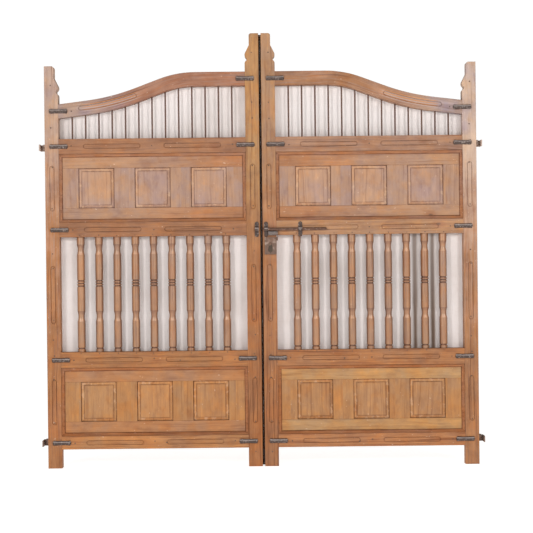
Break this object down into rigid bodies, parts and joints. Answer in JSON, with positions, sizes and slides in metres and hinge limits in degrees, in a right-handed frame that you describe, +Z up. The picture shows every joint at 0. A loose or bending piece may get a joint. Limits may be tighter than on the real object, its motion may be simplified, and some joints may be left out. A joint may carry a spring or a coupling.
{
  "type": "two-leaf gate",
  "caption": "Two-leaf courtyard gate of teak with swept top rails, turned balusters, raised panels, iron bars, curtains and a sliding bolt.",
  "frame": {"origin": "ground level in the middle of the closed gate, halfway between its front and back", "axes": "+X along the closed gate towards the leaf with the lock, +Y from front to back, +Z up"},
  "size_m": [1.8596, 0.0804, 1.817],
  "materials": {
    "stile_teak": "weathered",
    "rail_teak": "weathered",
    "board_teak": "waxed",
    "panel_teak": "waxed",
    "turned_teak": "polished",
    "dark_teak": "dark stained",
    "forged_iron": "hammered",
    "rusty_iron": "rusted",
    "lock_steel": "worn",
    "cotton": "plain weave"
  },
  "bodies": {
    "wall_hooks": {"left_upper_hook": "forged_iron", "left_lower_hook": "forged_iron", "right_upper_hook": "forged_iron", "right_lower_hook": "forged_iron"},
    "left_leaf": {"left_outer_stile": "stile_teak", "left_meeting_stile": "stile_teak", "left_top_rail": "rail_teak", "left_frieze_rail": "rail_teak", "left_lock_rail": "rail_teak", "left_waist_rail": "rail_teak", "left_bottom_rail": "rail_teak", "left_upper_boards": "board_teak", "left_upper_muntins": "board_teak", "left_upper_panels": "panel_teak", "left_upper_moulding": "rail_teak", "left_lower_boards": "board_teak", "left_lower_muntins": "board_teak", "left_lower_panels": "panel_teak", "left_lower_moulding": "rail_teak", "left_balusters": "turned_teak", "left_bars": "rusty_iron", "left_upper_curtain": "cotton", "left_lower_curtain": "cotton", "left_cleats": "forged_iron", "left_upper_strap": "forged_iron", "left_lower_strap": "forged_iron", "left_closing_strip": "dark_teak", "bolt_keeper": "forged_iron"},
    "right_leaf": {"right_outer_stile": "stile_teak", "right_meeting_stile": "stile_teak", "right_top_rail": "rail_teak", "right_frieze_rail": "rail_teak", "right_lock_rail": "rail_teak", "right_waist_rail": "rail_teak", "right_bottom_rail": "rail_teak", "right_upper_boards": "board_teak", "right_upper_muntins": "board_teak", "right_upper_panels": "panel_teak", "right_upper_moulding": "rail_teak", "right_lower_boards": "board_teak", "right_lower_muntins": "board_teak", "right_lower_panels": "panel_teak", "right_lower_moulding": "rail_teak", "right_balusters": "turned_teak", "right_bars": "rusty_iron", "right_upper_curtain": "cotton", "right_lower_curtain": "cotton", "right_cleats": "forged_iron", "right_upper_strap": "forged_iron", "right_lower_strap": "forged_iron", "right_closing_strip": "dark_teak", "bolt_staples": "forged_iron", "lock_plate": "rusty_iron", "lock_barrel": "lock_steel"},
    "bolt": {"bolt_rod": "rusty_iron"},
    "cover": {"keyhole_cover": "rusty_iron"}
  },
  "joints": [
    {"name": "left_leaf_swing", "type": "hinge", "parent": "wall_hooks", "child": "left_leaf", "pos_m": [-0.916, 0.0315, 0.7], "axis": [0, 0, 1], "range_deg": [0, 95]},
    {"name": "right_leaf_swing", "type": "hinge", "parent": "wall_hooks", "child": "right_leaf", "pos_m": [0.916, 0.0315, 0.7], "axis": [0, 0, -1], "range_deg": [0, 95]},
    {"name": "bolt_slide", "type": "slide", "parent": "right_leaf", "child": "bolt", "axis": [-1, 0, 0], "range_m": [0, 0.09]},
    {"name": "cover_swing", "type": "hinge", "parent": "right_leaf", "child": "cover", "pos_m": [0.037, -0.0325, 0.9322], "axis": [0, 1, 0], "range_deg": [-100, 100]}
  ]
}
